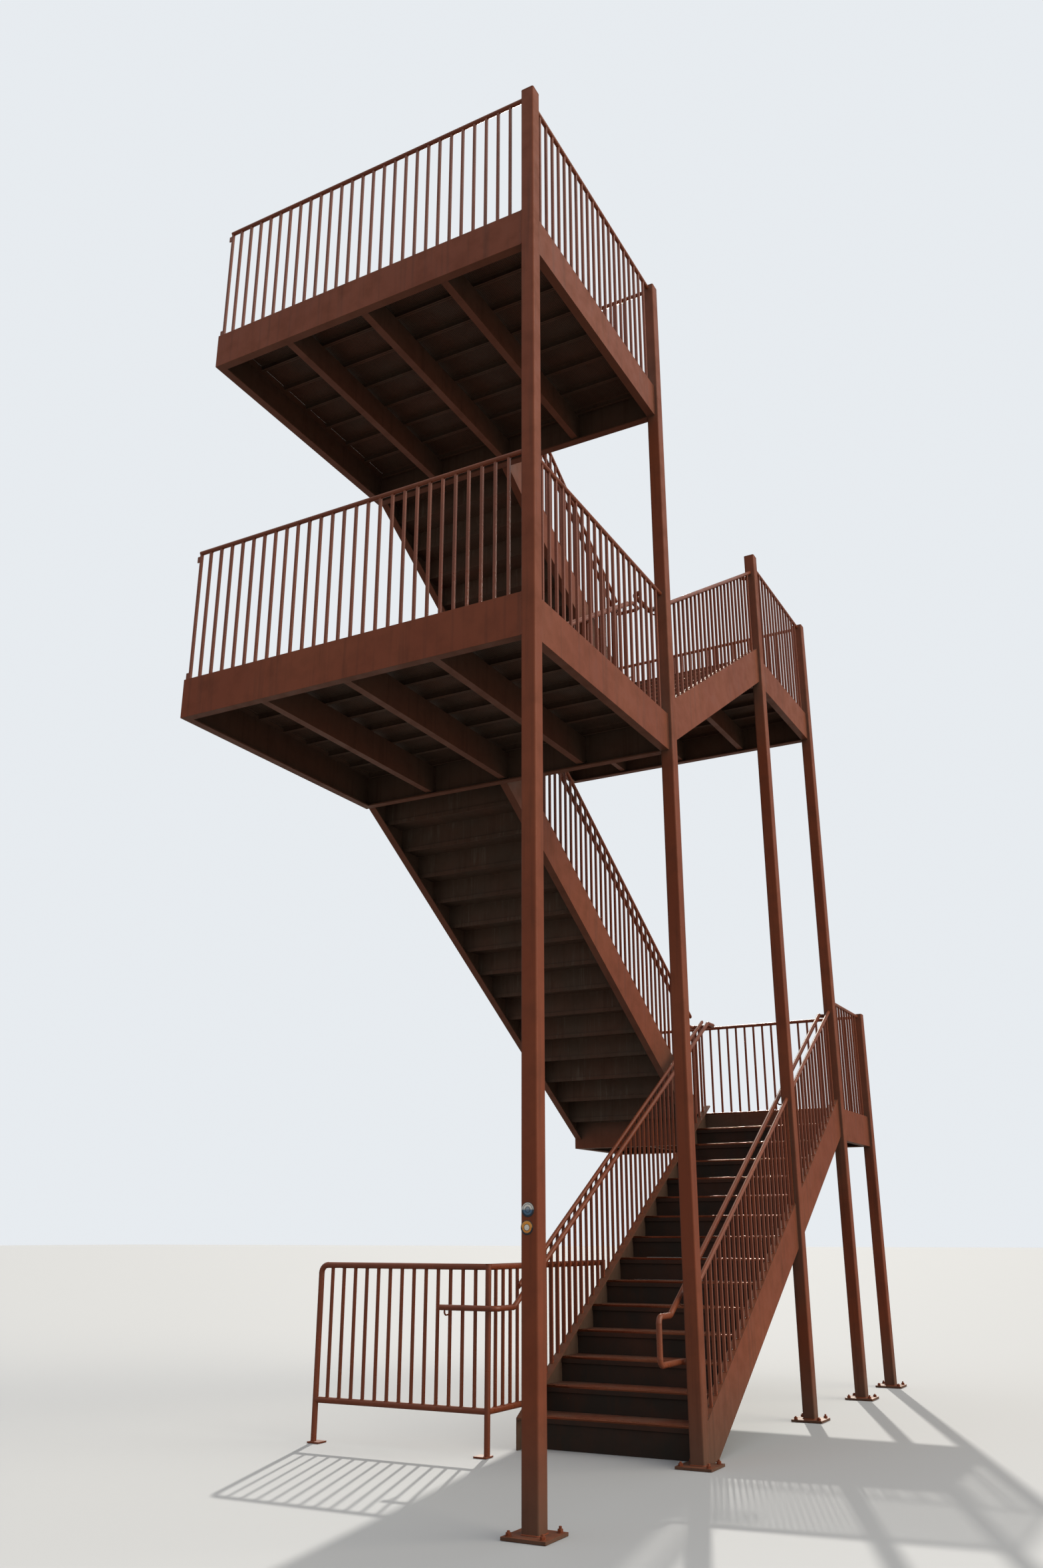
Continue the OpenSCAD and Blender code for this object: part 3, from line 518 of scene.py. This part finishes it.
railHeight = guardLook["top"] - guardLook["railRadius"]
half = columns["half"]
for x, top in zip(columns["x"], columns["top"]):
    foot = columnLoop(x, anchor["plateTop"] + beadLook["footRise"], beadLook["footGrow"])
    welds.bead(foot, beadLook["large"], closed=True)
    cap = columnLoop(x, top - beadLook["capDrop"], beadLook["capGrow"])
    welds.bead(cap, beadLook["cap"], closed=True)
for first, last, level in landings:
    near, far = columns["x"][first], columns["x"][last]
    for face in (near + half, far - half):
        standingBead(face, channel["web"], level - channel["depth"], level)
    for web in (near + channel["nearEnd"], far + channel["farEnd"]):
        standingBead(web, half, level - channel["depth"], level)
    for face in (near + half, far - half):
        place = (face, guardLook["outerLine"], level + railHeight)
        welds.bead(pipeLoop(place, "X"), beadLook["small"], closed=True)
for x, low, high in stringerEnds:
    standingBead(x, channel["web"], low, high)
for x, far, level in crossGuards:
    welds.bead(pipeLoop((x, half, level + railHeight), "Y"), beadLook["small"], closed=True)
welds.finish("welds", weldPaint, 60)


# weld collars where guard bars meet rails, stringers and channels
# sloping guards: flight, how far the bars reach along it, and line along Y
slopingGuards = (
    ("flight_1", -0.136, 3.915, guardLook["outerLine"]),
    ("flight_1", -0.136, 3.920, guardLook["innerLine"]),
    ("flight_2", -0.170, 3.920, guardLook["wallLine"]),
    ("flight_3", -0.166, 2.235, guardLook["outerLine"]),
    ("flight_3", -0.200, 2.240, guardLook["innerLine"]),
    ("flight_4", -0.200, 2.240, guardLook["wallLine"]),
)
groundGuard = {"x": 1.960, "y": 1.399, "wallEnd": 2.849, "stairEnd": 3.867, "foot": 0.2987, "head": 1.1803}
collars = Shape(11)


def barCollar(x, y, z, slope, grow, size):
    reach = guardLook["halfBar"] + grow
    path = []
    for sx, sy, ex, ey in ((-1, -1, 1, -1), (1, -1, 1, 1), (1, 1, -1, 1), (-1, 1, -1, -1)):
        for i in range(guardLook["parts"]):
            share = i / guardLook["parts"]
            dx = reach * (sx + (ex - sx) * share)
            dy = reach * (sy + (ey - sy) * share)
            path.append((x + dx, y + dy, z + slope * dx))
    collars.bead(path, size, True, guardLook["sides"])


def barEnds(x, y, foot, head, slope=0):
    barCollar(x, y, foot, slope, 0, guardLook["foot"])
    barCollar(x, y, head, slope, guardLook["headGrow"], guardLook["head"])


def barSpots(first, last):
    count = math.ceil((last - first) / guardLook["pitch"] - 1e-6)
    return [first + (last - first) * i / count for i in range(1, count)]


for flight, first, last, y in slopingGuards:
    values = flights[flight]
    rise = values["riser"] / going
    belowTop = (guardLook["railRadius"] + guardLook["under"]) * math.hypot(1, rise)
    for u in barSpots(first, last):
        line = values["level"] + values["riser"] + u * rise
        barEnds(values["start"] + values["side"] * u, y, line + guardLook["overStringer"],
                line + guardLook["slopeTop"] - belowTop, values["side"] * rise)
for first, last, level in landings:
    for x in barSpots(columns["x"][first] + half, columns["x"][last] - half):
        barEnds(x, guardLook["outerLine"], level + guardLook["overChannel"],
                level + railHeight - guardLook["under"])
for x, far, level in crossGuards:
    for y in barSpots(half, far):
        barEnds(x, y, level + guardLook["overChannel"], level + railHeight - guardLook["under"])
for y in barSpots(groundGuard["y"], groundGuard["wallEnd"]):
    barEnds(groundGuard["x"], y, groundGuard["foot"], groundGuard["head"])
for x in barSpots(groundGuard["x"], groundGuard["stairEnd"]):
    barEnds(x, groundGuard["y"], groundGuard["foot"], groundGuard["head"])
collars.finish("barCollars", weldPaint, 60)


# raised buttons along the front edge of each tread, with their outline in radius and height
treadButtons = {"rows": 3, "sides": 6, "outline": ((0.0045, 0.0), (0.0037, 0.0014), (0.0018, 0.0022))}

for flight, values in flights.items():
    spacing = button["spacing"]
    low, high = values["ends"]
    buttons = Shape(5)
    for k in range(1, values["risers"]):
        for row in range(treadButtons["rows"]):
            back = (k - 1) * going + button["treadMargin"] + (row + 0.5) * spacing
            for n in range(math.ceil(low / spacing), math.floor(high / spacing)):
                place = (values["start"] + values["side"] * back, (n + 0.5) * spacing,
                         values["level"] + k * values["riser"])
                buttons.lathe(place, treadButtons["outline"], treadButtons["sides"])
    buttons.finish(flight + "_buttons", treadPaint, 60)


# rolled front edges of treads and landings, rubbed smooth by feet
nosing = {"bend": 0.0050, "proud": 0.00147, "back": 0.015, "down": 0.014, "parts": 8,
          "midway": 0.55, "swell": 0.0006, "skin": 0.0001, "sunk": 0.0010}
# landings' front edges: where along X, which way the flight climbs, level and ends
landingEdges = ((6.387, 1, 2.600, outerTreads), (2.297, -1, 5.250, wallTreads),
                (4.737, 1, 6.810, outerTreads), (2.297, -1, 8.335, wallTreads))


def nosingOutline():
    # from the top round the bend and down the lip: distance behind the front and height over the top
    centre = nosing["bend"] - nosing["proud"]
    back, down, midway = nosing["back"], nosing["down"], nosing["midway"]
    swell, skin, sunk = nosing["swell"], nosing["skin"], nosing["sunk"]
    outline = [(back, skin), (back * midway, swell)]
    for i in range(nosing["parts"] + 1):
        angle = math.radians(90 * i / nosing["parts"])
        outline.append((centre - nosing["bend"] * math.sin(angle), nosing["bend"] * math.cos(angle) - centre))
    outline += [(-swell, -down * midway), (-skin, -down), (sunk, -down), (sunk, -sunk), (back, -sunk)]
    return outline


edges = Shape(9)


def rollEdge(x, side, top, ends):
    outline = nosingOutline()
    count = len(outline)
    points = [(x + side * back, y, top + up) for y in ends for back, up in outline]
    faces = []
    for i in range(count):
        n = (i + 1) % count
        faces.append((i, n, count + n, count + i))
    faces.append(tuple(range(count - 1, -1, -1)))
    faces.append(tuple(range(count, 2 * count)))
    edges.add(points, faces if side > 0 else [face[::-1] for face in faces])


for flight, values in flights.items():
    for k in range(1, values["risers"]):
        rollEdge(values["start"] + values["side"] * (k - 1) * going, values["side"],
                 values["level"] + k * values["riser"], values["ends"])
for x, side, level, ends in landingEdges:
    rollEdge(x, side, level, ends)
edges.finish("treadEdges", treadPaint, 50)


# two plain round markers on the near column
# each ring: where it starts as a share of the radius, its colour above and its colour below; lighter above is
# painted light and darker below is painted shade
markers = (
    {"name": "markerUpper", "place": (0.0075, 1.534), "radius": 0.0375, "rings": (
        (0.00, (0.36, 0.42, 0.50, 1), (0.09, 0.17, 0.28, 1)),
        (0.34, (0.03, 0.05, 0.08, 1), (0.01, 0.03, 0.06, 1)),
        (0.42, (0.80, 0.80, 0.78, 1), (0.06, 0.15, 0.28, 1)),
        (0.72, (0.05, 0.07, 0.10, 1), (0.02, 0.04, 0.07, 1)),
        (0.78, (0.70, 0.71, 0.70, 1), (0.015, 0.03, 0.055, 1)),
        (0.95, (0.02, 0.03, 0.05, 1), (0.01, 0.015, 0.03, 1)))},
    {"name": "markerLower", "place": (0.0130, 1.4445), "radius": 0.0368, "rings": (
        (0.00, (0.80, 0.79, 0.74, 1), (0.80, 0.79, 0.74, 1)),
        (0.40, (0.03, 0.025, 0.02, 1), (0.02, 0.02, 0.025, 1)),
        (0.47, (0.78, 0.33, 0.05, 1), (0.70, 0.28, 0.05, 1)),
        (0.76, (0.70, 0.35, 0.10, 1), (0.015, 0.025, 0.04, 1)),
        (0.90, (0.04, 0.03, 0.03, 1), (0.01, 0.015, 0.03, 1)))},
)
# "meet" is the band, as shares of the radius, in which the lower colours, painted shade, pass into the upper
# ones, painted light
markerLook = {"scuffed": (0.16, 0.13, 0.11, 1), "rough": (0.28, 0.60), "blur": 0.02, "meet": (-0.10, 0.16),
              "sides": 48}


def markerMaterial(name, centre, radius, rings):
    mat, tree, skin = newMaterial(name)
    where = addNode(tree, "ShaderNodeTexCoord").outputs["Object"]
    place = splitUp(tree, where)
    y = maths(tree, "SUBTRACT", place["Y"], centre[0])
    z = maths(tree, "SUBTRACT", place["Z"], centre[1])
    distance = maths(tree, "SQRT", maths(tree, "ADD", times(tree, y, y), times(tree, z, z)))
    # painted light on the upper half of each marker, painted shade on the lower half
    upperLitShare = ramp(tree, z, 0.0, 1.0, *[share * radius for share in markerLook["meet"]])
    colour = blendColour(tree, upperLitShare, rings[0][2], rings[0][1])
    for start, above, below in rings[1:]:
        passed = ramp(tree, distance, 0.0, 1.0, radius * (start - markerLook["blur"]),
                      radius * (start + markerLook["blur"]))
        colour = blendColour(tree, passed, colour, blendColour(tree, upperLitShare, below, above))
    scuffs = pattern(tree, where, "scuffs")
    colour = blendColour(tree, scuffs, colour, markerLook["scuffed"])
    tree.links.new(colour, skin.inputs["Base Color"])
    tree.links.new(ramp(tree, scuffs, *markerLook["rough"], 0.0, 0.5), skin.inputs["Roughness"])
    return mat


for marker in markers:
    name, centre, radius = marker["name"], marker["place"], marker["radius"]
    disc = Shape(1)
    profile = [(radius - 0.0004, 0.0), (radius, 0.0005), (radius, 0.0012), (radius - 0.0008, 0.0020),
               (radius * 0.60, 0.0021), (0.002, 0.0024)]
    disc.lathe((-half, centre[0], centre[1]), profile, markerLook["sides"], axis="-X")
    disc.finish(name, markerMaterial(name + "Mat", centre, radius, marker["rings"]), 40)


# plain pale floor under soft studio light
# "floor" is what the camera sees and "bounce" what lights the stair
# the light of the dome grows from "level" at the horizon to "zenith"
stage = {"size": 400, "drop": 0.002, "floor": (0.49, 0.52, 0.56, 1), "bounce": (0.21, 0.205, 0.20, 1),
         "rough": 0.9, "gloss": 0.1, "sky": (0.80, 0.835, 0.87, 1), "dome": (1.0, 0.985, 0.965, 1),
         "level": 0.17, "zenith": 0.80}
suns = (
    {"name": "keySun", "towards": (-0.804, -0.303, -0.512), "strength": 3.5, "spread": 1,
     "colour": (1.0, 0.92, 0.80)},
    {"name": "openSide", "towards": (-0.15, 0.90, -0.42), "strength": 2.2, "spread": 60,
     "colour": (1.0, 0.87, 0.68)},
    {"name": "fillSun", "towards": (0.80, 0.45, -0.25), "strength": 0.25, "spread": 50,
     "colour": (1.0, 0.97, 0.93)},
)


def buildFloor():
    mesh = bpy.data.meshes.new("floor")
    reach = stage["size"] / 2
    mesh.from_pydata([(-reach, -reach, 0), (reach, -reach, 0), (reach, reach, 0), (-reach, reach, 0)], [],
                     [(0, 1, 2, 3)])
    floor = bpy.data.objects.new("floor", mesh)
    floor.location.z = -stage["drop"]
    bpy.context.scene.collection.objects.link(floor)
    mat, tree, skin = newMaterial("floorMat")
    skin.inputs["Roughness"].default_value = stage["rough"]
    skin.inputs["Specular IOR Level"].default_value = stage["gloss"]
    path = addNode(tree, "ShaderNodeLightPath")
    colour = blendColour(tree, path.outputs["Is Camera Ray"], stage["bounce"], stage["floor"])
    tree.links.new(colour, skin.inputs["Base Color"])
    mesh.materials.append(mat)


def buildSky():
    world = bpy.data.worlds.new("studio")
    bpy.context.scene.world = world
    world.use_nodes = True
    tree = world.node_tree
    tree.nodes.clear()
    out = tree.nodes.new("ShaderNodeOutputWorld")
    height = splitUp(tree, addNode(tree, "ShaderNodeTexCoord").outputs["Generated"])["Z"]
    dome = ramp(tree, height, stage["level"], stage["zenith"])
    lit = addNode(tree, "ShaderNodeBackground", {"Color": stage["dome"], "Strength": dome})
    seen = addNode(tree, "ShaderNodeBackground", {"Color": stage["sky"], "Strength": 1.0})
    path = addNode(tree, "ShaderNodeLightPath")
    chosen = addNode(tree, "ShaderNodeMixShader", {0: path.outputs["Is Camera Ray"]})
    tree.links.new(lit.outputs[0], chosen.inputs[1])
    tree.links.new(seen.outputs[0], chosen.inputs[2])
    tree.links.new(chosen.outputs[0], out.inputs["Surface"])


def addSun(values):
    data = bpy.data.lights.new(values["name"], "SUN")
    data.energy = values["strength"]
    data.angle = math.radians(values["spread"])
    data.color = values["colour"]
    sun = bpy.data.objects.new(values["name"], data)
    sun.rotation_euler = Vector(values["towards"]).to_track_quat("-Z", "Y").to_euler()
    bpy.context.scene.collection.objects.link(sun)


buildFloor()
buildSky()
for values in suns:
    addSun(values)
bpy.context.scene.view_settings.view_transform = "Standard"
print("floor and light set")
